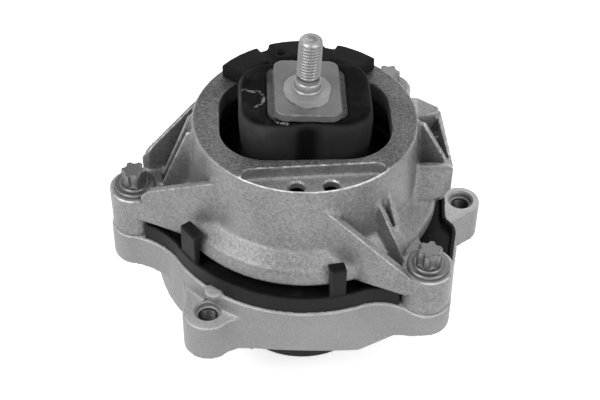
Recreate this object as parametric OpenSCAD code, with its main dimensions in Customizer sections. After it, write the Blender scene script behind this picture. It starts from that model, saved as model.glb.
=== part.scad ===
// Hydraulic engine mount: a rubber spring in a cast housing, three screws down to a cast base plate,
// and the fluid parts between them. Millimetres. The origin is on the mount's axis, at the plane
// where the base plate sits on the axle carrier. +Z points up along the mount.

/* [Housing ring] */
// Outer radius of the ring at its top
ring_r = 57.4; // [54:0.2:60]
// Height of the ring's top face above the seat
ring_top = 97; // [94:0.5:102]
// Corner radius of the opening in the ring
opening_corner_r = 24; // [18:0.5:28]
// Half width of the opening between its side flats
opening_half_x = 43.6; // [41:0.1:44.5]
// Distance from the axis to the opening's front and rear flats
opening_half_y = 33; // [32:0.1:36]
// Turn of the opening, its stop pad and the rubber block about the axis
block_turn = 3.3; // [0:0.1:6]
// Thickness of the ring's top wall
ring_wall = 11; // [9:0.5:14]
// Depth of the pocket in the front of the ring
pocket_depth = 7; // [4:0.5:8]
// Distance from the axis to the pocket's rear wall
pocket_y = 38; // [37:0.1:41]
// Thickness of the lip in front of the pocket
pocket_lip = 1.3; // [1:0.1:3]
// Diameter of the two holes in the pocket's floor
pocket_hole_d = 8; // [6:0.1:9]

/* [Housing bell] */
// Outer radius of the bell at its lower lip
lip_r = 70.2; // [68:0.1:72]
// Height of the lip's lower edge above the seat
lip_bottom = 44.6; // [43:0.1:47]
// Height of the lip's outer wall
lip_h = 10.3; // [8:0.1:12]
// Thickness of the bell's wall
bell_wall = 5; // [4:0.1:6.5]
// Thickness of the arms' ribs
rib_t = 3.6; // [2.5:0.1:5]
// Thickness of the arms' outer walls
arm_wall = 4.2; // [3:0.1:6]

/* [Bosses and screws] */
// Radius of a boss round a flange screw
boss_r = 13.2; // [12:0.1:15]
// Height of the joint between the housing and the base plate
joint_z = 32; // [30:0.5:34]
// Height of the faces that the screws' flanges sit on
boss_top = 57; // [54:0.5:60]
// Thread diameter of the flange screws
screw_d = 10; // [8:1:10]
// Diameter of the screws' flanges
screw_flange_d = 21.5; // [18:0.1:24]
// Distance across the points of the screws' star heads
star_d = 12.7; // [11:0.1:14]
// Height of the star heads above their flanges
star_h = 8.5; // [6:0.5:11]

/* [Base plate] */
// Radius of the base plate
plate_r = 77; // [75:0.5:79]
// Height of the left boss's underside above the seat
boss_under = 12; // [8:0.5:15]
// Height of the mounting ears
ear_h = 23; // [20:0.5:25]
// Radius of the mounting ears
ear_r = 13; // [11.5:0.1:15]
// Core diameter of the threads in the ears
ear_hole_d = 8.5; // [6.8:0.1:10.2]
// Diameter of the relief at the top of an ear's thread
ear_relief_d = 12.4; // [11:0.1:14]

/* [Core and stud] */
// Width of the core's top plate
core_plate_x = 33; // [30:0.5:36]
// Depth of the core's top plate
core_plate_y = 44; // [40:0.5:46]
// Height of the core's top face above the ring's top face
core_rise = 18.7; // [16:0.1:22]
// Lean of the core and its stud towards +X
core_lean = 2.4; // [0:0.1:3]
// Thread diameter of the stud
stud_d = 12; // [10:1:14]
// Height of the stud above the core
stud_h = 30; // [25:1:36]

/* [Rubber] */
// Width of the rubber block
block_x = 67.7; // [64:0.1:72]
// Depth of the rubber block
block_y = 52.4; // [48:0.1:54]
// Height of the block's top face above the ring's top face
block_rise = 13.5; // [11:0.1:15]
// Thickness of the stop pad on the ring
pad_t = 8; // [6:0.1:9]

/* [Fluid parts] */
// How far the clip ring stands out beyond the housing's lip
clip_ring_gap = 5.4; // [4.5:0.1:6]
// Height of the clip ring's outer wall
clip_ring_h = 10; // [8:0.5:11]
// Outer radius of the cup below the base plate
cup_r = 40; // [38:0.5:42]
// Depth of the cup below the seat
cup_drop = 44.4; // [38:0.2:46]
// Wall thickness of the cup
cup_wall = 2; // [1.5:0.1:3]
// Outer radius of the channel plates
track_r = 58; // [56:0.5:60]
// Thickness of each channel plate
track_t = 6; // [5:0.5:7]
// Thickness of the loose membrane between the channel plates
membrane_t = 2; // [1.5:0.1:2.5]

/* [Hidden] */
$fn = 96;
eps = 0.01;
// Clearance between pieces that seat in each other
fit = 0.1;
// How far a blend runs into the circles that it joins, so that their outlines cross
bite = 0.2;

// Plan places, X and Y, of the three flange screws: left, front right and rear
BOSSES = [[-88, -11], [62.6, -63.2], [46.3, 75.9]];
// Plan places of the three mounting ears: front left, right and rear left
EARS = [[-47.3, -67], [87, 20], [-54, 64]];
// Height of each boss's underside above the left one's
boss_lifts = [0, 5.8, 0];
// How far each boss's screw face lies below the left one's, and how much smaller its radius is
boss_drops = [0, 1.5, 0];
boss_trims = [0, 0.3, 0];
// Length of the flange screws below their flanges
screw_l = 38;
// Place and radius of the lobe beside the front right boss
LOBE = [69, -24.5];
lobe_r = 12.4;
// Direction and width of each clip of the clip ring
CLIPS = [[-140.8, 12.2], [-75.8, 8.3], [95, 8.3], [135, 12.2]];
// Radii that blend each boss into the base plate
boss_blends = [40, 24, 30];
// Radii that blend the two sides of each ear into the base plate; 0 leaves that side straight
ear_blends = [[35, 14], [0, 14], [14, 14]];
// How much smaller each ear's radius is than the front left one's
ear_trims = [0, 2.5, 0];
// Direction in which the right ear's straight front side runs out from the base plate
ear_side_angle = 39.6;
// How much wider the base plate's disc is at the seat than at the joint
disc_draft = 2.2;

// The cast pad on the rim: its direction, distance from the axis, radius and height above the joint
pad_angle = -125.4;
pad_x = plate_r - 0.6;
rim_pad_r = 4.6;
rim_pad_h = 1.3;

lip_top = lip_bottom + lip_h;
clip_ring_r = lip_r + clip_ring_gap;
core_top = ring_top + core_rise;
block_top = ring_top + block_rise;
pocket_floor = ring_top - pocket_depth;

// Height of the point that the core leans about
lean_z = ring_top - 2;
// Length of the stud inside the core
stud_depth = 28;
// Bore of the housing, which the spring's outer sleeve fills, and the step it stops at
bore_r = 60;
bore_top = 58;
// The rubber spring's skirt hangs from this height
skirt_top = 80;
// The arms' floors, and the bottom of the ribs that stand in them
floor_bottom = lip_bottom + 0.3;
floor_t = 3.2;
rib_bottom = floor_bottom + 1;
band_bottom = lip_bottom + 0.1;
// The arms' outer walls lie this much inside the bosses' outlines, and their lower bands stand proud
wall_inset = 1;
band_proud = 0.7;

// Steps inside the base plate, from the seat upwards
cup_seat = 8;
cup_flange_t = 2;
rim_t = 3;
track_seat = joint_z - 2 * track_t;
cup_flange_r = 54;
cup_hole_gap = 0.6;
// The cup's outer wall ends at the seat, and is slimmer inside the base plate
cup_relief = 0.5;
cup_corner_r = 2.5;
// Radius of the membrane's cavity, and the depth and inner radius of each half of the fluid channel
cavity_r = 29;
channel_depth = 3.5;
channel_r = 44;

// The sleeve stands on the seal, on the upper channel plate
seal_t = 1.5;
sleeve_bottom = joint_z + seal_t;
sleeve_wall = 2.5;
sleeve_top = bore_top - 1;

// A slab whose side view is a polygon of [distance along, height] points, from plan point a towards b
module web(a, b, t, side) {
    d = b - a;
    translate([a[0], a[1], 0])
        rotate([0, 0, atan2(d[1], d[0])])
            rotate([90, 0, 0])
                linear_extrude(t, center = true)
                    polygon(side);
}

// Rounded rectangle with true arcs at its corners
module round_rect(x, y, r) {
    square([x, y - 2 * r], center = true);
    square([x - 2 * r, y], center = true);
    for (i = [-1, 1], j = [-1, 1])
        translate([i * (x / 2 - r), j * (y / 2 - r)])
            circle(r);
}

// Centre of the arc of radius f that blends circle r1 at the axis with circle r2 at p, on one side
function blend_centre(p, r1, r2, f, side) =
    let (d = norm(p), u = r1 + f, v = r2 + f, x = (d * d + u * u - v * v) / (2 * d),
         y = side * sqrt(u * u - x * x), t = atan2(p[1], p[0]))
    [x * cos(t) - y * sin(t), x * sin(t) + y * cos(t)];

// Web that blends circle r1 at the axis with circle r2 at p by an arc of radius f
module neck(p, r1, r2, f, side) {
    c = blend_centre(p, r1, r2, f, side);
    difference() {
        polygon([[0, 0], p, c]);
        translate(c)
            circle(f + bite);
    }
}

// A web with a straight side that touches circle r1 at p1 and circle r2 at p2
module straight_neck(p1, p2, r1, r2, side) {
    d = p2 - p1;
    a = atan2(d[1], d[0]) + side * acos((r1 - r2) / norm(d));
    polygon([p1, p1 + (r1 - bite) * [cos(a), sin(a)], p2 + (r2 - bite) * [cos(a), sin(a)], p2]);
}

// Sector of a circle between two angles
module sector(r, a1, a2) {
    polygon(concat([[0, 0]], [for (i = [0:12]) let (a = a1 + (a2 - a1) * i / 12) r * [cos(a), sin(a)]]));
}

// Radius of boss i, and height of its screw face
function boss_radius(i) = boss_r - boss_trims[i];
function screw_face(i) = boss_top - boss_drops[i];

// Outline of one boss of the base plate and its necks, drawn in by an inset
module boss_outline(i, inset) {
    p = BOSSES[i];
    r1 = plate_r - inset;
    r2 = boss_radius(i) + 0.4 - inset;
    translate(p)
        circle(r2);
    neck(p, r1, r2, boss_blends[i] + inset, -1);
    if (i == 1) {
        // Towards the right ear the front right boss has a lobe, and straight sides
        straight_neck([0, 0], p, r1, r2, 1);
        straight_neck(LOBE, p, lobe_r - inset, r2, 1);
        translate(LOBE)
            circle(lobe_r - inset);
        neck(LOBE, r1, lobe_r - inset, 10 + inset, 1);
    } else
        neck(p, r1, r2, boss_blends[i] + inset, 1);
}

// Outline of the base plate's upper level, the disc and its three bosses
module plate_outline(inset) {
    circle(plate_r - inset);
    for (i = [0:2])
        boss_outline(i, inset);
}

// Outline of a mounting ear and its root on the disc
module ear_outline(i) {
    p = EARS[i];
    r = ear_r - ear_trims[i];
    translate(p)
        circle(r);
    for (k = [0, 1])
        if (ear_blends[i][k] > 0)
            neck(p, plate_r, r, ear_blends[i][k], 2 * k - 1);
        else {
            // A straight side that touches the ear's circle and runs back into the disc
            a = ear_side_angle;
            tip = p + (r - bite) * [sin(a), -cos(a)];
            polygon([p, tip, tip - 2.6 * r * [cos(a), sin(a)], p * 0.8]);
        }
}

// The lower body narrows at its front to a straight machined edge
module front_chamfer() {
    rotate([90, 0, 90])
        linear_extrude(200, center = true)
            polygon([[-plate_r - 9, 13.7], [-plate_r - 9, -1], [7.2 - plate_r, -1]]);
}

// Under the neck of the front right boss the wall's lower edge slopes up to the boss
module front_ramp() {
    under = boss_under + boss_lifts[1];
    inset = 0.3;
    r = boss_radius(1) + 0.4 - inset;
    difference() {
        translate([0, 0, 1])
            linear_extrude(under + 2) {
                neck(BOSSES[1], plate_r - inset, r, boss_blends[1] + inset, -1);
                translate(BOSSES[1])
                    circle(r);
            }
        rotate([90, 0, 0])
            linear_extrude(100)
                polygon([[31, -1], [60, under - 1], [67, under + 0.2], [80, under + 0.2], [80, -1]]);
    }
}

module base_plate() color("silver") {
    difference() {
        union() {
            // Upper level with the bosses
            for (i = [0:2])
                translate([0, 0, boss_under + boss_lifts[i]])
                    linear_extrude(joint_z - boss_under - boss_lifts[i])
                        boss_outline(i, 0);
            // Body down to the seat
            difference() {
                cylinder(r1 = plate_r + disc_draft, r2 = plate_r, h = joint_z);
                front_chamfer();
                // The disc's foot is cut back beside the front right boss
                rotate([90, 0, -60])
                    linear_extrude(60, center = true)
                        polygon([[plate_r - 1.3, -1], [plate_r + 9, -1], [plate_r + 9, 11]]);
            }
            // Ears
            for (i = [0:2])
                linear_extrude(ear_h)
                    ear_outline(i);
            front_ramp();
            // Cast pad on the rim behind the front ear
            rotate([0, 0, pad_angle])
                translate([pad_x, 0, joint_z + rim_pad_h - 2.8]) {
                    cylinder(r = rim_pad_r, h = 2.8);
                    translate([0, 0, eps - 5])
                        cylinder(r1 = 1.5, r2 = rim_pad_r, h = 5);
                }
        }
        // Through hole for the cup with a chamfer at the seat, and the steps above it
        translate([0, 0, -1])
            cylinder(r = cup_r + cup_hole_gap, h = joint_z);
        translate([0, 0, -eps])
            cylinder(r1 = cup_r + cup_hole_gap + 1.5, r2 = cup_r + cup_hole_gap, h = 1.5);
        translate([0, 0, cup_seat])
            cylinder(r = cup_flange_r + fit, h = joint_z);
        translate([0, 0, track_seat])
            cylinder(r = track_r + fit, h = joint_z);
        // Threads for the flange screws
        for (p = BOSSES)
            translate([p[0], p[1], -1])
                cylinder(d = screw_d + 2 * fit, h = joint_z + 2);
        // Threads in the ears, with a relief and a chamfer at the top
        for (p = EARS)
            translate([p[0], p[1], 0]) {
                translate([0, 0, -1])
                    cylinder(d = ear_hole_d, h = ear_h + 2);
                translate([0, 0, ear_h - 3.5])
                    cylinder(d = ear_relief_d, h = 5);
                translate([0, 0, ear_h - 0.8])
                    cylinder(d1 = ear_relief_d, d2 = ear_relief_d + 2.4, h = 1.2);
            }
    }
}

// Points along an arc about c, from angle a1 to a2
function arc_points(c, r, a1, a2, n) = [for (i = [0:n]) let (a = a1 + (a2 - a1) * i / n) c + r * [cos(a), sin(a)]];

// The bell as a solid, before its chamber is cut
module bell() {
    neck_r = ring_r + 1;
    foot_r = ring_r + 2.4;
    ledge_z = lip_top + 5.6;
    fillet = 3;
    edge = 0.6;
    rotate_extrude()
        polygon(concat(
            [[0, lip_bottom], [0, ring_top], [ring_r - edge, ring_top], [ring_r, ring_top - edge]],
            [[neck_r - 0.2, ring_top - 14]],
            arc_points([foot_r + fillet, ledge_z + fillet], fillet, 180, 248, 5),
            arc_points([lip_r - 3.9, lip_top - 3.2], 3, 62, 8, 3),
            [[lip_r - 0.6, lip_top - 3.4], [lip_r, lip_bottom + 1.6], [lip_r - 1.6, lip_bottom]]));
}

// Space inside the bell: the bore for the sleeve, then two cones up to the ring's underside
module chamber() {
    rotate_extrude()
        polygon([[0, joint_z], [bore_r + fit, joint_z], [bore_r + fit, bore_top], [bore_r - 2.6, bore_top],
            [ring_r - bell_wall, 70], [ring_r - bell_wall - 1, ring_top - ring_wall], [0, ring_top - ring_wall]]);
}

module opening_outline() {
    rotate([0, 0, block_turn])
        round_rect(2 * opening_half_x, 2 * opening_half_y, opening_corner_r);
}

// Flat floor of an arm
module arm_floor(points) {
    translate([0, 0, floor_bottom])
        linear_extrude(floor_t)
            polygon(points);
}

// Left arm: an outer wall on each side, two inner ribs, a floor and the boss
module left_arm() {
    b = BOSSES[0];
    wall_y = boss_r - wall_inset - arm_wall / 2;
    front_a = b + [2, -wall_y];
    front_b = [-34, -44];
    f_len = norm(front_b - front_a);
    web(front_a, front_b, arm_wall, [[-4, rib_bottom], [f_len, rib_bottom], [f_len, ring_top - 6],
        [f_len - 6, ring_top - 7.5], [8, 66.5], [0, boss_top + 0.5], [-4, boss_top + 0.5]]);
    // Rear wall, thick at the boss and slimmer towards the ring
    rear_a = b + [0, boss_r - 0.6];
    rear_b = [-50, 16.1];
    r_len = norm(rear_b - rear_a);
    intersection() {
        translate([0, 0, rib_bottom])
            linear_extrude(ring_top)
                polygon([rear_a, rear_b, rear_b + [0, -2.6], b + [10, boss_r + 0.6], b + [4, boss_r - 3.8], rear_a + [0, -3]]);
        web(rear_a, rear_b, 24, [[-4, rib_bottom - 1], [r_len, rib_bottom - 1], [r_len, ring_top - 0.8],
            [r_len - 7, ring_top - 1.4], [6.2, 70.2], [1, 61], [-4, 43]]);
    }
    // Pad that joins the boss to the ribs
    translate([0, 0, rib_bottom])
        linear_extrude(boss_top - 0.6 - rib_bottom)
            polygon([b + [0, 8], b + [7.6, 14.2], b + [12.4, 13.2], b + [15.1, 2.1], b + [12, -9], b + [0, -8]]);
    // Lower band of the front wall, level with the lip
    web(front_a + [1, -band_proud], front_b + [-1, -band_proud], arm_wall, [[-4, band_bottom], [f_len - 4, band_bottom],
        [f_len - 4, lip_top], [-4, lip_top]]);
    // Inner ribs: where each starts and ends, and how much slimmer it is than the other arms' ribs
    for (e = [[[-76.5, -8.1], [-50.5, -13], 1.6], [[-76.5, 1.9], [-50.5, 1.5], 0.8]]) {
        len = norm(e[1] - e[0]);
        web(e[0], e[1], rib_t - e[2], [[0, rib_bottom], [len, rib_bottom], [len, ring_top - 2],
            [len - 9, ring_top - 2.5], [2.2, boss_top - 1], [0, boss_top - 6]]);
    }
    arm_floor([b + [-4, -wall_y - 1.4], b + [-4, boss_r - 3.2], rear_b + [0, -1.5], front_b + [1, 0.5]]);
}

// Front right arm: the outer front wall, two ribs that meet at the boss, and a floor
module front_arm() {
    b = BOSSES[1];
    face = screw_face(1);
    wall_a = b + [-9, -8.6];
    wall_b = [3, -53.5];
    w_len = norm(wall_b - wall_a);
    web(wall_a, wall_b, arm_wall, [[0, rib_bottom], [w_len, rib_bottom], [w_len, pocket_floor - 0.6],
        [w_len - 5, pocket_floor - 1.6], [0, face + 0.5]]);
    web(wall_a + [-1, -band_proud], wall_b + [4, -band_proud], arm_wall, [[0, band_bottom], [w_len - 14, band_bottom],
        [w_len - 14, lip_top], [0, lip_top]]);
    // The wall's end runs smoothly into the boss
    for (e = [[[-9.7, -10.6], face - 0.2, rib_bottom + 0.4], [[-10.8, -11.2], lip_top - 0.15, floor_bottom + 0.4]])
        translate([b[0], b[1], e[2]])
            linear_extrude(e[1] - e[2])
                polygon([[0, 0], [-9, -8.4], e[0], [-3, -12]]);
    // Each rib: where it starts and ends, and how far its end lies below the ring's top
    for (e = [[[51.6, -58.4], [34.5, -42.3], 10.5], [[52.3, -57.5], [39.4, -35.2], 4.3]]) {
        len = norm(e[1] - e[0]);
        web(e[0], e[1], rib_t - 0.6, [[0, rib_bottom], [len, rib_bottom], [len, ring_top - e[2]], [0, face - 0.4]]);
    }
    arm_floor([b + [-8, -9.3], b + [4, 11], [56, -28], [20, -50]]);
}

// Rear arm, out of sight behind the ring, built like the left one
module rear_arm() {
    b = BOSSES[2];
    wall_x = boss_r - wall_inset - arm_wall / 2;
    right_a = b + [wall_x, 0];
    right_b = [68.4, 16];
    left_a = b + [-wall_x, 2];
    left_b = [12, 48];
    r_len = norm(right_b - right_a);
    l_len = norm(left_b - left_a);
    web(right_a, right_b, arm_wall, [[0, rib_bottom], [r_len, rib_bottom], [r_len, 71], [6, boss_top - 4], [0, boss_top - 5]]);
    web(left_a, left_b, arm_wall, [[0, rib_bottom], [l_len, rib_bottom], [l_len, ring_top - 4],
        [6, 66], [0, boss_top + 0.5]]);
    for (e = [[25, 42], [35, 35]]) {
        root = b + (e - b) * 0.25;
        len = norm(e - root);
        web(root, e, rib_t, [[0, rib_bottom], [len, rib_bottom], [len, ring_top - 5], [0, boss_top - 2]]);
    }
    arm_floor([b + [wall_x + 1, -2], b + [-wall_x - 1, 2], left_b + [1, -1], [45, 24], right_b + [-1, 0]]);
}

// Box of gussets on the right of the ring
module side_box() {
    front_y = -13.8;
    rear_y = 31.5;
    front_x = 76.4;
    rear_x = 72.3;
    wall = 3.6;
    low = 54.5;
    rim = 77;
    difference() {
        // Outer shape, whose lower edge rises from the bell to the outer wall
        intersection() {
            translate([0, 0, rib_bottom])
                linear_extrude(rim - rib_bottom)
                    polygon([[46, front_y], [front_x, front_y], [rear_x, rear_y], [42, rear_y]]);
            translate([0, rear_y + 5, 0])
                rotate([90, 0, 0])
                    linear_extrude(rear_y - front_y + 10)
                        polygon([[40, 48], [62, 48], [72.6, low], [75.4, 60.5], [80, 60.5], [80, rim + 5], [40, rim + 5]]);
        }
        // Hollow
        translate([0, 0, low + 6])
            linear_extrude(rim)
                polygon([[44, front_y + wall], [front_x - 2, front_y + wall], [rear_x - 2.4, rear_y - 3.5], [44, rear_y - 3.5]]);
    }
    // The front wall's foot spreads forwards over the lip
    hull() {
        translate([0, 0, rim - 1.5])
            linear_extrude(eps)
                polygon([[50, front_y + 0.4], [front_x - 1, front_y + 0.4], [front_x - 1, front_y + 2], [50, front_y + 2]]);
        translate([0, 0, lip_top + 1.5])
            linear_extrude(eps)
                polygon([[50, -27.7], [53.3, -26.3], [66.8, -17.3], [71, front_y - 0.7], [71, front_y + 2], [50, front_y + 2]]);
    }
    // Diagonal rib from the ring's top to the front corner
    corner = [75.4, -10.6];
    root = [50.2, 7.3];
    d_len = norm(corner - root);
    web(root, corner, 2.4, [[0, 58], [d_len, low + 8], [d_len, rim - 0.8], [d_len - 3, rim + 0.8],
        [13.5, ring_top - 3], [0, ring_top - 3]]);
    // Sloping rear plate with a slanting front edge
    intersection() {
        translate([0, 0, low + 5.5])
            linear_extrude(ring_top)
                polygon([[42, 12], [57, 13.4], [rear_x - 3.7, 24.4], [rear_x - 1.1, rear_y - 0.7], [42, rear_y - 0.7]]);
        translate([0, rear_y + 1, 0])
            rotate([90, 0, 0])
                linear_extrude(30)
                    polygon([[40, low], [rear_x, low], [rear_x, rim + 2.2], [59, rim + 9.2], [40, rim + 9.2]]);
    }
}

module upper_housing() color("darkgray") {
    difference() {
        union() {
            bell();
            for (i = [0:2])
                translate([BOSSES[i][0], BOSSES[i][1], joint_z])
                    cylinder(r1 = boss_radius(i) - 0.5, r2 = boss_radius(i), h = screw_face(i) - joint_z + 1);
            left_arm();
            front_arm();
            rear_arm();
            side_box();
        }
        // Opening in the ring, and the chamber for the rubber spring
        translate([0, 0, ring_top - ring_wall - 1])
            linear_extrude(ring_wall + 2)
                opening_outline();
        chamber();
        // Spot faces for the flanges
        for (i = [0:2])
            translate([BOSSES[i][0], BOSSES[i][1], 0]) {
                translate([0, 0, screw_face(i)])
                    cylinder(r = boss_radius(i) + 0.7, h = 40);
                cylinder(d = screw_d + 0.8, h = 100);
            }
        // Pocket in the front of the ring, behind a thin lip, and its two holes
        rotate([0, 0, block_turn + 2.9])
            translate([0, 0, pocket_floor])
                linear_extrude(20)
                    intersection() {
                        circle(ring_r - pocket_lip);
                        translate([0.4, -pocket_y - 20])
                            round_rect(70.3, 40, 4.6);
                    }
        for (x = [-3.3, 13.7])
            translate([x, -45.8 + (x + 3.3) * 0.09, pocket_floor - 20]) {
                cylinder(d = pocket_hole_d, h = 30);
                translate([0, 0, 19.2])
                    cylinder(d1 = pocket_hole_d, d2 = pocket_hole_d + 2, h = 1);
            }
    }
}

module clip_ring() color("#2b2b2b") {
    hollow_r = bore_r + 1;
    inset = plate_r - clip_ring_r;
    wall = 2;
    floor_h = clip_ring_h - 3.5;
    hook_t = 2.6;
    hook_z = lip_top + 1.6;
    difference() {
        translate([0, 0, joint_z])
            linear_extrude(clip_ring_h)
                difference() {
                    plate_outline(inset);
                    circle(hollow_r);
                    for (i = [0:2])
                        translate(BOSSES[i])
                            circle(boss_radius(i) + 1.6);
                }
        // Channel in the ring's top
        translate([0, 0, joint_z + floor_h])
            linear_extrude(clip_ring_h)
                difference() {
                    plate_outline(inset + wall);
                    circle(hollow_r + wall);
                    for (i = [0:2])
                        translate(BOSSES[i])
                            circle(boss_radius(i) + 1.6 + wall);
                }
        // Notch for the cast pad
        rotate([0, 0, pad_angle])
            translate([pad_x, 0, joint_z - 1])
                cylinder(r = rim_pad_r + 0.6, h = rim_pad_h + 2);
    }
    // Clips that hook over the housing's lip
    for (c = CLIPS)
        rotate([0, 0, c[0]])
            translate([0, c[1] / 2, 0])
                rotate([90, 0, 0])
                    linear_extrude(c[1])
                        polygon([[lip_r + 1.4, joint_z + floor_h - 1], [clip_ring_r - 0.8, joint_z + floor_h - 1],
                            [clip_ring_r - 0.8, hook_z + hook_t - 0.8], [clip_ring_r - 1.6, hook_z + hook_t],
                            [lip_r - 1.6, hook_z + hook_t], [lip_r - 1.6, hook_z], [lip_r + 1.4, hook_z]]);
}

// Everything that leans with the core
module lean() {
    translate([0, 0, lean_z])
        rotate([0, core_lean, 0])
            translate([0, 0, -lean_z])
                children();
}

module core_solid() {
    plate_t = 4.4;
    neck_z = ring_top - 4;
    neck_bottom = 74;
    lean()
        rotate([0, 0, block_turn]) {
            translate([0, 0, core_top - plate_t])
                linear_extrude(plate_t)
                    round_rect(core_plate_x, core_plate_y, 5.5);
            translate([0, 1, neck_z])
                linear_extrude(core_top - plate_t - neck_z + eps)
                    round_rect(core_plate_x + 7, core_plate_y - 3.5, 6);
            translate([0, 0, neck_bottom])
                cylinder(r1 = 13, r2 = 18, h = neck_z - neck_bottom + eps);
        }
}

module core() color("#b4b4b4") {
    difference() {
        union() {
            core_solid();
            // Pressed collar round the stud
            lean()
                translate([0, 0, core_top - eps])
                    rotate([0, 0, 22.5])
                        cylinder(d = 26, h = 0.5, $fn = 8);
        }
        // Hole for the stud
        lean()
            translate([0, 0, core_top - stud_depth])
                cylinder(d = stud_d + 1.6 + 2 * fit, h = stud_depth + 10);
    }
}

module stud() color("lightgray") {
    shank_h = 6.5;
    lean()
        translate([0, 0, core_top]) {
            translate([0, 0, -stud_depth])
                cylinder(d = stud_d + 1.6, h = stud_depth + shank_h - 1);
            translate([0, 0, shank_h - 1 - eps])
                cylinder(d1 = stud_d + 1.6, d2 = stud_d, h = 1);
            cylinder(d = stud_d, h = stud_h - 1.2);
            translate([0, 0, stud_h - 1.2 - eps])
                cylinder(d1 = stud_d, d2 = stud_d - 2.2, h = 1.2);
        }
}

// Level of a lobe: distance that its sides lie inside the widest level, and height
LOBE_LEVELS = [[2.4, -32], [0.6, -20], [0, -8], [0.3, -4], [1.5, -1.3], [3.6, 0]];

// Outline of a lobe on the side s, drawn in by an inset
module lobe_corners(s, inset) {
    outer_x = block_x / 2;
    front = -block_y / 2 + 2.6;
    rear = block_y / 2 + 2.6;
    valley = [-2.9, 5.6];
    inner_x = s > 0 ? valley[1] : valley[0];
    for (c = [[outer_x - 16, front + 16, 16], [outer_x - 14, rear - 14, 14]])
        translate([s * c[0], c[1]])
            circle(c[2] - inset, $fn = 48);
    for (y = [front + 5, rear - 5])
        translate([inner_x + s * 5, y])
            circle(5 - inset * 0.6, $fn = 32);
}

module block_shape() {
    rotate([0, 0, block_turn]) {
        // Left and right lobes
        for (s = [-1, 1])
            hull()
                for (l = LOBE_LEVELS)
                    translate([0, 0, block_top + l[1] - eps])
                        linear_extrude(eps)
                            lobe_corners(s, l[0]);
        // Web between the lobes, up to the core's underside
        translate([1.3, 2.6, block_top - 32])
            linear_extrude(31)
                square([20, block_y - 6], center = true);
    }
}

module spring_rubber() color("#1c1c1c") {
    in_r = bore_r - sleeve_wall;
    difference() {
        union() {
            block_shape();
            rotate_extrude()
                polygon([[0, skirt_top], [30, skirt_top], [in_r, bore_top - 4], [in_r, 40], [in_r - 4, 40],
                    [34, 54], [17, skirt_top - 17], [0, skirt_top - 16]]);
        }
        core_solid();
        lean()
            translate([0, 0, core_top])
                cylinder(d = 30, h = 10);
    }
}

module stop_buffer() color("#1f1f1f") {
    outer = 53.6;
    inner = 40;
    notch_drop = 2.5;
    // Each part of the buffer: its first and last angle, outer radius and height
    parts = [[47.5, 72.5, outer, pad_t], [119, 145.3, outer, pad_t], [62, 128, outer - 1, pad_t - notch_drop],
        [80.5, 112.5, outer + 0.2, pad_t + 0.4]];
    difference() {
        for (c = parts)
            translate([0, 0, ring_top])
                linear_extrude(c[3])
                    intersection() {
                        difference() {
                            circle(c[2]);
                            circle(inner);
                        }
                        sector(80, c[0], c[1]);
                    }
        // Blind holes in the centre
        for (a = [107.5, 85.5])
            rotate([0, 0, a])
                translate([44.4, 0, ring_top + 2])
                    cylinder(d = 4.2, h = 20);
    }
}

module flange_screws() color("#cfcfcf") {
    flange_t = 2.6;
    // Angle of the first flute of each star head
    turns = [30, 45, 30];
    for (i = [0:2])
        translate([BOSSES[i][0], BOSSES[i][1], screw_face(i)]) {
            cylinder(d = screw_flange_d, h = flange_t - 1);
            translate([0, 0, flange_t - 1 - eps])
                cylinder(d1 = screw_flange_d, d2 = star_d + 2, h = 1);
            difference() {
                cylinder(d = star_d, h = flange_t + star_h);
                for (a = [0:60:300])
                    rotate([0, 0, turns[i] + a])
                        translate([star_d / 2 + 1.2, 0, flange_t])
                            cylinder(r = 2.6, h = star_h + 1);
            }
            translate([0, 0, -screw_l])
                cylinder(d = screw_d, h = screw_l + eps);
        }
}

module outer_sleeve() color("dimgray") {
    rotate_extrude()
        polygon([[bore_r, sleeve_bottom], [bore_r, sleeve_top], [bore_r - sleeve_wall, sleeve_top],
            [bore_r - sleeve_wall, sleeve_bottom + 2.5], [51, sleeve_bottom + 2.5], [51, sleeve_bottom]]);
}

module fluid_seal() color("#151515") {
    translate([0, 0, joint_z])
        difference() {
            cylinder(r = track_r - 1, h = seal_t);
            translate([0, 0, -1])
                cylinder(r = track_r - 5, h = seal_t + 2);
        }
}

// Plate with a ring of holes over the membrane's cavity and one turn of half the fluid channel
module channel_plate(flip) {
    difference() {
        cylinder(r = track_r, h = track_t);
        translate([0, 0, track_t - membrane_t / 2 - 0.2])
            cylinder(r = cavity_r, h = track_t);
        translate([0, 0, track_t - channel_depth])
            rotate_extrude(angle = 320)
                translate([channel_r, 0])
                    square([8, 10]);
        for (r = [10, 20], a = [0:360 / (r / 10 * 6):359])
            rotate([0, 0, a])
                translate([r, 0, -1])
                    cylinder(d = 5, h = track_t + 2);
        rotate([0, 0, flip ? 8 : 312])
            translate([channel_r + 4, 0, -1])
                cylinder(d = 7, h = track_t);
    }
}

module lower_channel_plate() color("#9a9a9a") {
    translate([0, 0, track_seat])
        channel_plate(false);
}

module upper_channel_plate() color("#a4a4a4") {
    translate([0, 0, joint_z])
        rotate([180, 0, 0])
            channel_plate(true);
}

module membrane() color("#202020") {
    translate([0, 0, track_seat + track_t - membrane_t / 2])
        cylinder(r = cavity_r - 0.5, h = membrane_t);
}

module lower_cup() color("#141414") {
    in_r = cup_r - cup_wall;
    c = [cup_r - cup_corner_r, cup_corner_r - cup_drop];
    rotate_extrude()
        polygon(concat(
            [[0, -cup_drop]],
            arc_points(c, cup_corner_r, -90, 0, 6),
            [[cup_r, 0], [cup_r - cup_relief, cup_relief], [cup_r - cup_relief, cup_seat]],
            [[cup_flange_r, cup_seat], [cup_flange_r, cup_seat + cup_flange_t], [in_r, cup_seat + cup_flange_t]],
            [[in_r, cup_wall + 1 - cup_drop], [in_r - 1, cup_wall - cup_drop], [0, cup_wall - cup_drop]]));
}

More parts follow.
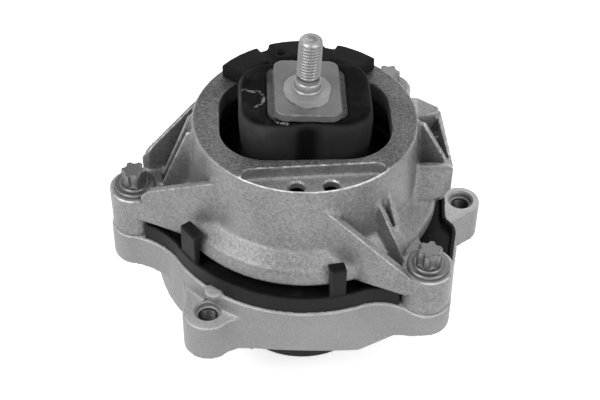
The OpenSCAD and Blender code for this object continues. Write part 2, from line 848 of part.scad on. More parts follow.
module bellows() color("#232323") {
    rim_z = cup_seat + cup_flange_t;
    rim_r = cup_flange_r - 1;
    in_r = cup_r - cup_wall;
    // Lower skin from the rim to the centre, then the upper skin back
    rotate_extrude()
        polygon([[rim_r, rim_z], [in_r - 0.4, rim_z], [in_r - 1.8, 6], [in_r - 6, -19], [in_r - 11, -25],
            [in_r - 18, -25], [14, -9], [11, -6.4], [0, -6.4], [0, -4], [12, -4], [16, -8],
            [in_r - 16.5, -22.4], [in_r - 12.2, -22.4], [in_r - 8.2, -18], [in_r - 4.2, 7],
            [in_r - 3, rim_z + rim_t], [rim_r, rim_z + rim_t]]);
}

module bellows_ring() color("#8c8c8c") {
    rim_top = cup_seat + cup_flange_t + rim_t;
    translate([0, 0, rim_top])
        difference() {
            cylinder(r = cup_flange_r, h = track_seat - rim_top);
            translate([0, 0, -1])
                cylinder(r = cup_flange_r - 9, h = 20);
        }
}

upper_housing();
base_plate();
clip_ring();
spring_rubber();
core();
stud();
stop_buffer();
flange_screws();
outer_sleeve();
upper_channel_plate();
lower_channel_plate();
membrane();
bellows();
bellows_ring();
lower_cup();
fluid_seal();
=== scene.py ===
import math

import bmesh
import bpy
import numpy as np
from mathutils import Matrix, Vector, noise


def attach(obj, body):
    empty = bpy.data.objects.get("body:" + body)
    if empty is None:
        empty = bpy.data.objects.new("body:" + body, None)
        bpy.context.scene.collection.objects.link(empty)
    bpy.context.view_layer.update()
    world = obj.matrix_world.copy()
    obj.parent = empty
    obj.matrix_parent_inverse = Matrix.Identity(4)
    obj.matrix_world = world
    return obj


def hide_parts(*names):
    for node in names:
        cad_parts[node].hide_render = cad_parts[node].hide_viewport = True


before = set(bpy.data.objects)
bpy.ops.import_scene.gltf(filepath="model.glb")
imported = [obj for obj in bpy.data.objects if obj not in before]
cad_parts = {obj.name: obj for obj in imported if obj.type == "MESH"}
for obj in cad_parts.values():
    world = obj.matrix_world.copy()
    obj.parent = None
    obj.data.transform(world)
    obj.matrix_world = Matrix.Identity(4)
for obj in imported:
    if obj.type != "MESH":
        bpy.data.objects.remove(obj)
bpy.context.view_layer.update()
MM = 0.001

# Sizes repeated from the part's source, in millimetres. Places are in plan, from the mount's axis
RING_TOP = 97.0
RING_R = 57.4
POCKET_FLOOR = 90.0
POCKET_HOLE_R = 4.0
POCKET_HOLES = [(x, -45.8 + (x + 3.3) * 0.09) for x in (-3.3, 13.7)]
BOSSES = [(-88.0, -11.0), (62.6, -63.2), (46.3, 75.9)]
BOSS_TOPS = [57.0, 55.5, 57.0]
EARS = [(-47.3, -67.0), (87.0, 20.0), (-54.0, 64.0)]
EAR_H = 23.0
CORE_TOP = 115.7
CORE_LEAN = math.radians(2.4)
LEAN_Z = 95.0
CUP_R = 40.0
CUP_BOTTOM = -44.4

# The photograph's viewpoint, in metres and as directions
CAMERA_PLACE = (0.0, -0.54842, 0.55095)
CAMERA_FORWARD = (-0.00231933, 0.73080577, -0.68258154)
CAMERA_RIGHT = (0.99974895, 0.01690657, 0.014704)
CAMERA_LENS = 84.0

# Each soft lamp's place, the height on the mount's axis that it aims at, its side in metres and its watts
LAMPS = {
    "key": ((-0.75, -0.55, 1.15), 0.05, 0.75, 11.5),
    "fill": ((0.85, -0.75, 0.95), 0.05, 0.8, 7.5),
    "back": ((0.25, 1.1, 0.95), 0.06, 0.7, 5.0),
}
ROOM_LIGHT = 0.5
WHITE_BACKDROP = 1.0
PAPER_GLOW = 0.62
PAPER_HALF = 4.0

# How far a vertex lies from its neighbours' middle, in voxels: where a hollow starts to be rounded, where an
# edge starts to be marked for its painted highlight, and the range over which either grows to its full share
HOLLOW_START = 0.015
HOLLOW_RANGE = 0.05
EDGE_START = 0.03
EDGE_RANGE = 0.16

# Turned profiles, as radius and height in millimetres, from the bottom up
POCKET_HOLE = [
    (POCKET_HOLE_R, POCKET_FLOOR - 6.0), (POCKET_HOLE_R, POCKET_FLOOR - 0.95),
    (POCKET_HOLE_R + 0.1, POCKET_FLOOR - 0.85), (POCKET_HOLE_R + 0.8, POCKET_FLOOR - 0.1),
    (POCKET_HOLE_R + 0.8, POCKET_FLOOR + 2.0)]
EAR_HOLE = [
    (4.9, -2.0), (4.9, EAR_H - 3.9), (6.2, EAR_H - 3.5), (6.2, EAR_H - 1.0), (7.2, EAR_H - 0.05),
    (7.2, EAR_H + 2.0)]
# Heights of the stud's profiles are over the core's plate
STUD_SHANK = [
    (6.8, -27.9), (6.8, -0.2), (7.7, 0.3), (7.7, 0.8), (7.3, 1.0), (6.95, 1.3), (6.8, 1.8), (6.75, 4.6),
    (6.5, 5.1), (5.95, 5.4), (5.85, 7.4)]
STUD_END = [
    (5.75, 28.4), (5.75, 28.8), (5.15, 29.5), (5.0, 29.65), (4.75, 29.6), (4.6, 29.5), (4.3, 29.5),
    (2.2, 29.5), (1.7, 29.2), (0.4, 29.15)]
# Heights of the screws' profiles are over the boss's top
SCREW_SHANK = [(4.2, -38.0), (4.95, -37.0), (4.95, -0.02)]
SCREW_FLANGE = [
    (10.3, 0.0), (10.75, 0.4), (10.75, 1.1), (10.6, 1.6), (10.2, 1.95), (9.6, 2.05), (8.4, 1.9), (8.0, 2.0),
    (7.7, 2.5), (7.3, 2.8), (6.8, 2.85), (6.45, 2.8)]
# The star grows out of a round neck: height, and share of the flutes' depth
STAR_SIDE = [(2.8, 0.0), (3.0, 0.5), (3.5, 0.8), (4.4, 1.0), (7.0, 1.0), (10.5, 1.0)]
# The star's rounded end: how far the outline is drawn in, and height
STAR_END = [(0.2, 10.9), (0.6, 11.08), (1.4, 11.1)]
STAR_TIP_R = 6.35
STAR_FLUTE_R = 2.65
STAR_FLUTE_AXIS = 7.6
STAR_TURNS = [30.0, 15.0, 30.0]

# Plan paths of the scratches and of the torn flash on the rubber's left lobe
TORN_SCRATCH = [(-31.6, 4.2), (-27.9, 2.0), (-23.4, 2.4), (-20.7, -2.6), (-21.4, -6.8), (-24.5, -9.6)]
TORN_FLASH = [(-18.6, 2.8), (-17.6, -6.7), (-16.6, -14.5), (-14.0, -20.6), (-8.8, -22.0)]


# Camera, floor and lights

def link_object(name, data):
    thing = bpy.data.objects.new(name, data)
    bpy.context.scene.collection.objects.link(thing)
    return thing


def place_camera():
    forward = Vector(CAMERA_FORWARD).normalized()
    right = Vector(CAMERA_RIGHT)
    right = (right - forward * right.dot(forward)).normalized()
    up = right.cross(forward).normalized()
    data = bpy.data.cameras.new("camera")
    data.lens = CAMERA_LENS
    data.sensor_width = 36.0
    data.clip_start = 0.01
    camera = link_object("camera", data)
    turn = Matrix((right, up, -forward)).transposed().to_4x4()
    camera.matrix_world = Matrix.Translation(CAMERA_PLACE) @ turn
    bpy.context.scene.camera = camera


def hang_lamps():
    for name, (place, aim_height, side, watts) in LAMPS.items():
        data = bpy.data.lights.new(name, "AREA")
        data.shape = "SQUARE"
        data.size = side
        data.energy = watts
        lamp = link_object(name, data)
        lamp.location = place
        view = Vector((0.0, 0.0, aim_height)) - Vector(place)
        lamp.rotation_euler = view.to_track_quat("-Z", "Y").to_euler()


def seen_directly(tree):
    """One for rays from the camera, from gloss and through glass, nought for soft light."""
    path = tree.nodes.new("ShaderNodeLightPath").outputs
    seen = add_math(tree, "MAXIMUM", path["Is Camera Ray"], path["Is Glossy Ray"])
    return add_math(tree, "MAXIMUM", seen, path["Is Transmission Ray"])


def light_room():
    """Even soft light all round, which shows as plain white behind the part."""
    world = bpy.data.worlds.new("studio")
    bpy.context.scene.world = world
    world.use_nodes = True
    tree = world.node_tree
    tree.nodes.clear()
    out = tree.nodes.new("ShaderNodeOutputWorld")
    mix = tree.nodes.new("ShaderNodeMixShader")
    tree.links.new(seen_directly(tree), mix.inputs[0])
    for socket, strength in ((mix.inputs[1], ROOM_LIGHT), (mix.inputs[2], WHITE_BACKDROP)):
        light = tree.nodes.new("ShaderNodeBackground")
        light.inputs["Color"].default_value = grey(1.0)
        light.inputs["Strength"].default_value = strength
        tree.links.new(light.outputs[0], socket)
    tree.links.new(mix.outputs[0], out.inputs["Surface"])


def lay_paper():
    """White paper under the cup, which keeps the part's shadow."""
    signs = [(-1, -1), (1, -1), (1, 1), (-1, 1)]
    corners = [(a * PAPER_HALF, b * PAPER_HALF, CUP_BOTTOM * MM) for a, b in signs]
    mesh = bpy.data.meshes.new("floor")
    mesh.from_pydata(corners, [], [(0, 1, 2, 3)])
    floor = link_object("floor", mesh)
    paper, tree, shader = new_finish("studio_paper", specular=0.1)
    shader.inputs["Base Color"].default_value = grey(0.8)
    shader.inputs["Roughness"].default_value = 0.9
    shader.inputs["Emission Color"].default_value = grey(1.0)
    glow = add_math(tree, "MULTIPLY", seen_directly(tree), PAPER_GLOW)
    tree.links.new(glow, shader.inputs["Emission Strength"])
    mesh.materials.append(paper)


# Mesh building

def copy_node(node, name, plugs=()):
    """A welded copy of a CAD node's mesh as a new piece. Plugs fill the holes that are cut again later."""
    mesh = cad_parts[node].data.copy()
    mesh.materials.clear()
    work = bmesh.new()
    work.from_mesh(mesh)
    bmesh.ops.remove_doubles(work, verts=work.verts, dist=2e-6)
    for x, y, r, low, high in plugs:
        middle = Matrix.Translation((x * MM, y * MM, (low + high) / 2 * MM))
        bmesh.ops.create_cone(work, cap_ends=True, segments=48, radius1=r * MM, radius2=r * MM,
                              depth=(high - low) * MM, matrix=middle)
    work.to_mesh(mesh)
    work.free()
    return link_object(name, mesh)


def settle(piece):
    """Applies the piece's modifiers to its mesh."""
    depsgraph = bpy.context.evaluated_depsgraph_get()
    mesh = bpy.data.meshes.new_from_object(piece.evaluated_get(depsgraph))
    piece.modifiers.clear()
    old = piece.data
    piece.data = mesh
    bpy.data.meshes.remove(old)


def remesh(piece, voxel):
    skin = piece.modifiers.new("skin", "REMESH")
    skin.mode = "VOXEL"
    skin.voxel_size = voxel * MM
    skin.use_smooth_shade = True
    settle(piece)


def read_points(mesh):
    points = np.empty(len(mesh.vertices) * 3, np.float64)
    mesh.vertices.foreach_get("co", points)
    return points.reshape(-1, 3)


def write_points(mesh, points):
    mesh.vertices.foreach_set("co", points.astype(np.float32).ravel())
    mesh.update()


def read_normals(mesh):
    normals = np.empty(len(mesh.vertices) * 3, np.float32)
    mesh.vertex_normals.foreach_get("vector", normals)
    return normals.reshape(-1, 3).astype(np.float64)


def read_edges(mesh):
    pairs = np.empty(len(mesh.edges) * 2, np.int64)
    mesh.edges.foreach_get("vertices", pairs)
    return pairs.reshape(-1, 2)


def put_mark(mesh, name, values):
    store = mesh.attributes.get(name) or mesh.attributes.new(name, "FLOAT", "POINT")
    store.data.foreach_set("value", values.astype(np.float32))


def read_mark(mesh, name):
    values = np.empty(len(mesh.vertices), np.float32)
    mesh.attributes[name].data.foreach_get("value", values)
    return values


def ramp(values, start, length):
    """Nought up to start, one from start plus length, straight in between."""
    return np.clip((values - start) / length, 0.0, 1.0)


class Neighbours:
    """Averages over each vertex's neighbours."""

    def __init__(self, mesh):
        self.a, self.b = read_edges(mesh).T
        self.count = len(mesh.vertices)
        around = np.bincount(np.r_[self.a, self.b], minlength=self.count)
        self.around = np.maximum(around, 1)

    def mean(self, values):
        if values.ndim == 1:
            return self.mean(values[:, None])[:, 0]
        columns = [
            np.bincount(self.a, v[self.b], self.count) + np.bincount(self.b, v[self.a], self.count)
            for v in values.T
        ]
        return np.stack(columns, 1) / self.around[:, None]


def soften(piece, voxel, all_over, hollows, spread=3, sweep=None):
    """Rounds every edge a little, and the inner corners more, as in a casting.

    The rounds all_over go to every vertex, and the rounds hollows to inner corners, spread out by some
    vertices, and to what sweep picks out.
    """
    mesh = piece.data
    near = Neighbours(mesh)
    points = read_points(mesh)
    for _ in range(all_over):
        points += 0.5 * (near.mean(points) - points)
    write_points(mesh, points)
    if hollows == 0:
        return
    bend = ((near.mean(points) - points) * read_normals(mesh)).sum(1)
    mask = ramp(bend / (voxel * MM), HOLLOW_START, HOLLOW_RANGE)
    for _ in range(spread):
        mask = np.clip(np.maximum(mask, near.mean(mask)) * 1.25, 0.0, 1.0)
    mask = near.mean(near.mean(mask))
    if sweep is not None:
        mask = np.maximum(mask, sweep(points / MM))
    for _ in range(hollows):
        points += (0.5 * mask)[:, None] * (near.mean(points) - points)
    write_points(mesh, points)


def mark_edges(piece, voxel):
    """Stores how far each vertex stands out on an edge, or lies in a hollow."""
    mesh = piece.data
    near = Neighbours(mesh)
    points = read_points(mesh)
    bend = near.mean(((points - near.mean(points)) * read_normals(mesh)).sum(1) / (voxel * MM))
    put_mark(mesh, "edge", ramp(bend, EDGE_START, EDGE_RANGE))
    put_mark(mesh, "hollow", ramp(-bend, 0.0, EDGE_RANGE))


def thin_out(piece, triangles):
    """Joins small faces until the piece has about this many triangles."""
    count = 2 * len(piece.data.polygons)
    if count > triangles:
        fewer = piece.modifiers.new("fewer", "DECIMATE")
        fewer.ratio = triangles / count
        settle(piece)


def lathe_rows(profile, segments):
    return [turned_row([r] * segments, z) for r, z in profile]


def turned_row(radii, z):
    """One closed row round the axis, with a radius for each step."""
    turns = [2.0 * math.pi * s / len(radii) for s in range(len(radii))]
    return [(r * math.cos(t), r * math.sin(t), z) for r, t in zip(radii, turns)]


def grid_mesh(name, rows, closed=True):
    """A mesh through rows of points, each row a closed loop, with flat ends where closed."""
    count = len(rows[0])
    faces = []
    for r in range(len(rows) - 1):
        for c in range(count):
            d = (c + 1) % count
            faces.append((r * count + c, r * count + d, (r + 1) * count + d, (r + 1) * count + c))
    if closed:
        faces.append(tuple(reversed(range(count))))
        faces.append(tuple(range((len(rows) - 1) * count, len(rows) * count)))
    mesh = bpy.data.meshes.new(name)
    mesh.from_pydata([(x * MM, y * MM, z * MM) for row in rows for x, y, z in row], [], faces)
    mesh.update()
    return mesh


def join_meshes(name, parts):
    """One mesh from several, each moved to its place in millimetres. The several are used up."""
    verts, faces = [], []
    for mesh, (x, y, z) in parts:
        first = len(verts)
        verts += [(v.co.x + x * MM, v.co.y + y * MM, v.co.z + z * MM) for v in mesh.vertices]
        faces += [tuple(first + i for i in face.vertices) for face in mesh.polygons]
        bpy.data.meshes.remove(mesh)
    joined = bpy.data.meshes.new(name)
    joined.from_pydata(verts, [], faces)
    joined.update()
    return joined


def cut_holes(piece, places, profile):
    """Cuts alike turned holes at places in plan. Their rims stay sharp, and the rest is shaded smooth."""
    parts = [(grid_mesh("hole", lathe_rows(profile, 64)), (x, y, 0.0)) for x, y in places]
    cutter = link_object("cutter", join_meshes("cutter", parts))
    cut = piece.modifiers.new("holes", "BOOLEAN")
    cut.operation = "DIFFERENCE"
    cut.solver = "EXACT"
    cut.object = cutter
    settle(piece)
    used = cutter.data
    bpy.data.objects.remove(cutter)
    bpy.data.meshes.remove(used)
    mesh = piece.data
    shade(piece, 28.0)
    points = read_points(mesh) / MM
    rim = max(r for r, _ in profile) + 0.05
    near = np.zeros(len(points), bool)
    for x, y in places:
        near |= np.hypot(points[:, 0] - x, points[:, 1] - y) < rim
    sharp = np.zeros(len(mesh.edges), bool)
    store = mesh.attributes["sharp_edge"].data
    store.foreach_get("value", sharp)
    store.foreach_set("value", sharp & near[read_edges(mesh)].all(1))


def shade(piece, angle):
    """Smooth shading, apart from edges that turn by more than this many degrees."""
    piece.data.shade_smooth()
    piece.data.set_sharp_from_angle(angle=math.radians(angle))


def lean_matrix():
    about = Matrix.Translation((0.0, 0.0, LEAN_Z * MM))
    return about @ Matrix.Rotation(CORE_LEAN, 4, "Y") @ about.inverted()


def finish_piece(piece, material, slot, *nodes):
    piece.data.materials.clear()
    piece.data.materials.append(material)
    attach(piece, "root")
    if nodes:
        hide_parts(*nodes)


# Nodes of the finishes

def grey(level):
    return (level, level, level, 1.0)


def feed(tree, socket, value):
    """Sets a plain value on a socket, or links another node's output to it."""
    if isinstance(value, (int, float, tuple)):
        socket.default_value = value
    else:
        tree.links.new(value, socket)


def add_noise(tree, place, scale, detail, rough):
    node = tree.nodes.new("ShaderNodeTexNoise")
    node.inputs["Detail"].default_value = detail
    node.inputs["Roughness"].default_value = rough
    feed(tree, node.inputs["Vector"], place)
    feed(tree, node.inputs["Scale"], scale)
    return node.outputs["Fac"]


def add_math(tree, operation, a, b=None):
    node = tree.nodes.new("ShaderNodeMath")
    node.operation = operation
    feed(tree, node.inputs[0], a)
    if b is not None:
        feed(tree, node.inputs[1], b)
    return node.outputs[0]


def add_sum(tree, *shares):
    """Sum of values, each given with its share."""
    total = None
    for value, share in shares:
        part = value if share == 1.0 else add_math(tree, "MULTIPLY", value, share)
        total = part if total is None else add_math(tree, "ADD", total, part)
    return total


def add_range(tree, value, low, high, out_low=0.0, out_high=1.0):
    """Soft step from out_low to out_high while the value goes from low to high."""
    node = tree.nodes.new("ShaderNodeMapRange")
    node.interpolation_type = "SMOOTHSTEP"
    node.inputs["From Min"].default_value = low
    node.inputs["From Max"].default_value = high
    node.inputs["To Min"].default_value = out_low
    node.inputs["To Max"].default_value = out_high
    tree.links.new(value, node.inputs["Value"])
    return node.outputs["Result"]


def add_mix(tree, factor, a, b):
    node = tree.nodes.new("ShaderNodeMix")
    node.data_type = "RGBA"
    feed(tree, node.inputs[0], factor)
    feed(tree, node.inputs[6], a)
    feed(tree, node.inputs[7], b)
    return node.outputs[2]


def add_mark(tree, name):
    """What put_mark stored on the piece under this name, or nought where it stored nothing."""
    node = tree.nodes.new("ShaderNodeAttribute")
    node.attribute_name = name
    return node.outputs["Fac"]


def object_place(tree):
    return tree.nodes.new("ShaderNodeTexCoord").outputs["Object"]


def upwardness(tree):
    """One on a level face, nought on an upright one, minus one on a face that looks down."""
    parts = tree.nodes.new("ShaderNodeSeparateXYZ")
    tree.links.new(tree.nodes.new("ShaderNodeNewGeometry").outputs["Normal"], parts.inputs[0])
    return parts.outputs["Z"]


def add_bump(tree, shader, height, strength, distance):
    bump = tree.nodes.new("ShaderNodeBump")
    bump.inputs["Strength"].default_value = strength
    bump.inputs["Distance"].default_value = distance
    tree.links.new(height, bump.inputs["Height"])
    tree.links.new(bump.outputs["Normal"], shader.inputs["Normal"])


def new_finish(name, metallic=0.0, specular=0.5):
    material = bpy.data.materials.new(name)
    material.use_nodes = True
    tree = material.node_tree
    shader = tree.nodes["Principled BSDF"]
    shader.inputs["Metallic"].default_value = metallic
    shader.inputs["Specular IOR Level"].default_value = specular
    return material, tree, shader


def new_group(name, inputs, outputs):
    group = bpy.data.node_groups.new(name, "ShaderNodeTree")
    kinds = {"color": "NodeSocketColor", "value": "NodeSocketFloat", "vector": "NodeSocketVector"}
    for label, kind, value in inputs:
        socket = group.interface.new_socket(name=label, in_out="INPUT", socket_type=kinds[kind])
        if value is not None:
            socket.default_value = value
    for label, kind in outputs:
        group.interface.new_socket(name=label, in_out="OUTPUT", socket_type=kinds[kind])
    start = group.nodes.new("NodeGroupInput")
    end = group.nodes.new("NodeGroupOutput")
    return group, start.outputs, end.inputs


def use_group(tree, group, **values):
    """Places a shared effect in a material, with its own values for the named inputs."""
    node = tree.nodes.new("ShaderNodeGroup")
    node.node_tree = group
    for label, value in values.items():
        feed(tree, node.inputs[label.replace("_", " ")], value)
    return node.outputs


# Effects that several finishes share. Noise scales are per metre

def make_cast_grain():
    """Sand-like grain and soft mottling of cast metal."""
    group, start, end = new_group(
        "cast_grain",
        [("Place", "vector", None), ("Grain Scale", "value", 900.0), ("Mottle Scale", "value", 160.0),
         ("Dark", "color", grey(0.2)), ("Light", "color", grey(0.4)), ("Stain", "color", grey(0.1)),
         ("Stain Amount", "value", 0.4), ("Speck Amount", "value", 0.5)],
        [("Color", "color"), ("Height", "value"), ("Grain", "value")])
    place = start["Place"]
    grain = add_noise(group, place, start["Grain Scale"], 3.0, 0.65)
    mottle = add_noise(group, place, start["Mottle Scale"], 3.0, 0.55)
    wide = add_noise(group, place, 38.0, 2.0, 0.5)
    stain = add_noise(group, place, 75.0, 4.0, 0.6)
    tone = add_sum(group, (mottle, 0.3), (grain, 0.5), (wide, 0.2))
    color = add_mix(group, add_range(group, tone, 0.36, 0.64), start["Dark"], start["Light"])
    speck = add_range(group, grain, 0.30, 0.42, 1.0, 0.0)
    color = add_mix(group, add_math(group, "MULTIPLY", speck, start["Speck Amount"]), color, start["Stain"])
    stained = add_range(group, stain, 0.60, 0.74)
    color = add_mix(group, add_math(group, "MULTIPLY", stained, start["Stain Amount"]), color, start["Stain"])
    group.links.new(color, end["Color"])
    group.links.new(add_sum(group, (grain, 0.6), (mottle, 0.6)), end["Height"])
    group.links.new(grain, end["Grain"])
    return group


def make_edge_shine():
    """Painted highlight on the outer edges and painted shade in the hollows, broken up by noise."""
    group, start, end = new_group(
        "edge_shine",
        [("Place", "vector", None), ("Color", "color", grey(0.3)), ("Bright", "color", grey(0.8)),
         ("Dirt", "color", grey(0.1)), ("Shine", "value", 0.8), ("Dirt Amount", "value", 0.3)],
        [("Color", "color"), ("Edge", "value")])
    # Painted highlight: the edge mark, broken up by noise, lightens the colour towards Bright
    highlight_breakup = add_range(group, add_noise(group, start["Place"], 220.0, 3.0, 0.6), 0.3, 0.6, 0.8, 1.15)
    painted_light = add_range(group, add_math(group, "MULTIPLY", add_mark(group, "edge"), highlight_breakup), 0.25, 0.8)
    # Painted shade: the hollow mark darkens the colour towards the shade colour
    low = add_range(group, add_mark(group, "hollow"), 0.15, 0.9)
    hollow_shade = add_math(group, "MULTIPLY", low, start["Dirt Amount"])
    color = add_mix(group, hollow_shade, start["Color"], start["Dirt"])
    color = add_mix(group, add_math(group, "MULTIPLY", painted_light, start["Shine"]), color, start["Bright"])
    group.links.new(color, end["Color"])
    group.links.new(painted_light, end["Edge"])
    return group


def make_handling_marks():
    """Fine streaks of handling wear and small pits for rubber, plastic and turned steel."""
    group, start, end = new_group(
        "handling_marks",
        [("Place", "vector", None), ("Streak Scale", "value", 90.0), ("Stretch", "vector", (1.0, 1.0, 5.0)),
         ("Base", "color", grey(0.02)), ("Rubbed", "color", grey(0.06)), ("Amount", "value", 0.5)],
        [("Color", "color"), ("Height", "value"), ("Mask", "value")])
    stretch = group.nodes.new("ShaderNodeVectorMath")
    stretch.operation = "MULTIPLY"
    group.links.new(start["Place"], stretch.inputs[0])
    group.links.new(start["Stretch"], stretch.inputs[1])
    streak = add_noise(group, stretch.outputs[0], start["Streak Scale"], 5.0, 0.65)
    cloud = add_noise(group, start["Place"], 60.0, 3.0, 0.55)
    pits = add_noise(group, start["Place"], 1500.0, 2.0, 0.6)
    patches = add_range(group, cloud, 0.4, 0.65)
    mask = add_math(group, "MULTIPLY", add_range(group, streak, 0.45, 0.75), patches)
    color = add_mix(group, add_math(group, "MULTIPLY", mask, start["Amount"]), start["Base"], start["Rubbed"])
    group.links.new(color, end["Color"])
    group.links.new(add_sum(group, (pits, 0.5), (streak, 0.8)), end["Height"])
    group.links.new(mask, end["Mask"])
    return group


CAST_GRAIN = make_cast_grain()
EDGE_SHINE = make_edge_shine()
HANDLING_MARKS = make_handling_marks()


# Finishes

def housing_finish():
    """Pressure-cast aluminium, mottled, with a coarse dark skin on the ring's top."""
    material, tree, shader = new_finish("cast_housing_skin", metallic=0.45, specular=0.45)
    place = object_place(tree)
    cast = use_group(tree, CAST_GRAIN, Place=place, Grain_Scale=2200.0, Mottle_Scale=600.0, Dark=grey(0.13),
                     Light=grey(0.31), Stain=grey(0.06), Stain_Amount=0.3, Speck_Amount=0.35)
    burnt = use_group(tree, CAST_GRAIN, Place=place, Grain_Scale=1500.0, Mottle_Scale=600.0, Dark=grey(0.025),
                      Light=grey(0.15), Stain=grey(0.012), Stain_Amount=0.4, Speck_Amount=0.8)
    top = add_mark(tree, "ring_top")
    base = add_mix(tree, top, cast["Color"], burnt["Color"])
    # Painted highlight on the edges and painted shade in the hollows
    painted_light = use_group(tree, EDGE_SHINE, Place=place, Color=base, Bright=grey(0.70), Dirt=grey(0.08), Shine=0.8,
                     Dirt_Amount=0.45)
    tree.links.new(painted_light["Color"], shader.inputs["Base Color"])
    rough = add_sum(tree, (add_range(tree, cast["Grain"], 0.35, 0.65, 0.30, 0.46), 1.0), (top, 0.16),
                    (painted_light["Edge"], -0.1))
    tree.links.new(rough, shader.inputs["Roughness"])
    burnt_height = add_math(tree, "MULTIPLY", top, burnt["Height"])
    add_bump(tree, shader, add_sum(tree, (cast["Height"], 1.0), (burnt_height, 2.2)), 0.55, 0.00035)
    return material


def plate_finish():
    """Blasted cast aluminium, finer and more even than the housing, with painted light making its level faces
    lighter.
    """
    material, tree, shader = new_finish("cast_plate_skin", metallic=0.2, specular=0.35)
    place = object_place(tree)
    side = use_group(tree, CAST_GRAIN, Place=place, Grain_Scale=2400.0, Mottle_Scale=900.0, Dark=grey(0.21),
                     Light=grey(0.31), Stain=grey(0.13), Stain_Amount=0.1, Speck_Amount=0.15)
    level = use_group(tree, CAST_GRAIN, Place=place, Grain_Scale=1700.0, Mottle_Scale=900.0, Dark=grey(0.26),
                      Light=grey(0.46), Stain=grey(0.16), Stain_Amount=0.1, Speck_Amount=0.2)
    # Painted light: level faces take the lighter copy of the grain, upright faces the darker one
    base = add_mix(tree, add_range(tree, upwardness(tree), 0.6, 0.95), side["Color"], level["Color"])
    # Painted highlight on the edges and painted shade in the hollows
    painted_light = use_group(tree, EDGE_SHINE, Place=place, Color=base, Bright=grey(0.62), Dirt=grey(0.2), Shine=0.6,
                     Dirt_Amount=0.2)
    tree.links.new(painted_light["Color"], shader.inputs["Base Color"])
    tree.links.new(add_range(tree, side["Grain"], 0.35, 0.65, 0.42, 0.52), shader.inputs["Roughness"])
    add_bump(tree, shader, side["Height"], 0.35, 0.0002)
    return material


def core_finish():
    """Matt aluminium of the core's plate: a lighter pressed collar, a cracked line round it, rubber below."""
    material, tree, shader = new_finish("core_plate_skin", metallic=0.2, specular=0.2)
    place = object_place(tree)
    cast = use_group(tree, CAST_GRAIN, Place=place, Grain_Scale=1400.0, Mottle_Scale=120.0, Dark=grey(0.105),
                     Light=grey(0.15), Stain=grey(0.06), Stain_Amount=0.25, Speck_Amount=0.1)
    # Painted highlight on the edges and painted shade in the hollows
    painted_light = use_group(tree, EDGE_SHINE, Place=place, Color=cast["Color"], Bright=grey(0.4), Dirt=grey(0.05),
                     Shine=0.5, Dirt_Amount=0.5)
    wander = add_math(tree, "SUBTRACT", add_noise(tree, place, 160.0, 3.0, 0.6), 0.5)
    reach = add_sum(tree, (add_mark(tree, "collar"), 1.0), (wander, 0.22))
    inside = add_range(tree, reach, 0.97, 1.02, 1.0, 0.0)
    color = add_mix(tree, inside, painted_light["Color"], grey(0.235))
    rim = add_math(tree, "ABSOLUTE", add_math(tree, "SUBTRACT", reach, 1.0))
    broken = add_range(tree, add_noise(tree, place, 120.0, 1.0, 0.5), 0.45, 0.6, 0.25, 1.0)
    crack = add_math(tree, "MULTIPLY", add_range(tree, rim, 0.012, 0.05, 1.0, 0.0), broken)
    color = add_mix(tree, crack, color, grey(0.06))
    color = add_mix(tree, add_mark(tree, "skin"), color, grey(0.016))
    tree.links.new(color, shader.inputs["Base Color"])
    tree.links.new(add_range(tree, cast["Grain"], 0.35, 0.65, 0.5, 0.6), shader.inputs["Roughness"])
    add_bump(tree, shader, cast["Height"], 0.2, 0.0001)
    return material


def black_finish(name, top, side, rubbed_and_edge_lit, rough, specular):
    """Black rubber or plastic: painted shading by face direction, near black on level faces and lighter grey
    on upright ones, with handling streaks, a painted highlight on marked upright faces and on the edges, and
    painted shade in the hollows.
    """
    material, tree, shader = new_finish(name, specular=specular)
    place = object_place(tree)
    # Painted shading by face direction: upright faces lighter grey than level ones
    upright = add_range(tree, add_math(tree, "ABSOLUTE", upwardness(tree)), 0.25, 0.85, 1.0, 0.0)
    base = add_mix(tree, upright, grey(top), grey(side))
    # Painted highlight on upright faces where the piece carries the lobe highlight mark
    cloud = add_range(tree, add_noise(tree, place, 90.0, 3.0, 0.6), 0.3, 0.7, 0.4, 1.0)
    lobe_highlight = add_math(tree, "MULTIPLY", add_math(tree, "MULTIPLY", upright, add_mark(tree, "lobe_highlight")), cloud)
    base = add_mix(tree, lobe_highlight, base, grey(side * 2.2))
    marks = use_group(tree, HANDLING_MARKS, Place=place, Streak_Scale=70.0, Stretch=(1.0, 1.0, 0.35),
                      Base=base, Rubbed=grey(rubbed_and_edge_lit), Amount=0.3)
    # Painted highlight on the edges and painted shade in the hollows
    painted_light = use_group(tree, EDGE_SHINE, Place=place, Color=marks["Color"], Bright=grey(rubbed_and_edge_lit),
                     Dirt=grey(top * 0.4), Shine=0.6, Dirt_Amount=0.8)
    frayed = add_math(tree, "MULTIPLY", add_mark(tree, "torn"), add_noise(tree, place, 700.0, 4.0, 0.7))
    color = add_mix(tree, add_range(tree, frayed, 0.40, 0.62), painted_light["Color"], grey(0.22))
    tree.links.new(color, shader.inputs["Base Color"])
    tree.links.new(add_range(tree, marks["Mask"], 0.0, 1.0, rough, rough + 0.15), shader.inputs["Roughness"])
    add_bump(tree, shader, marks["Height"], 0.3, 0.0002)
    return material


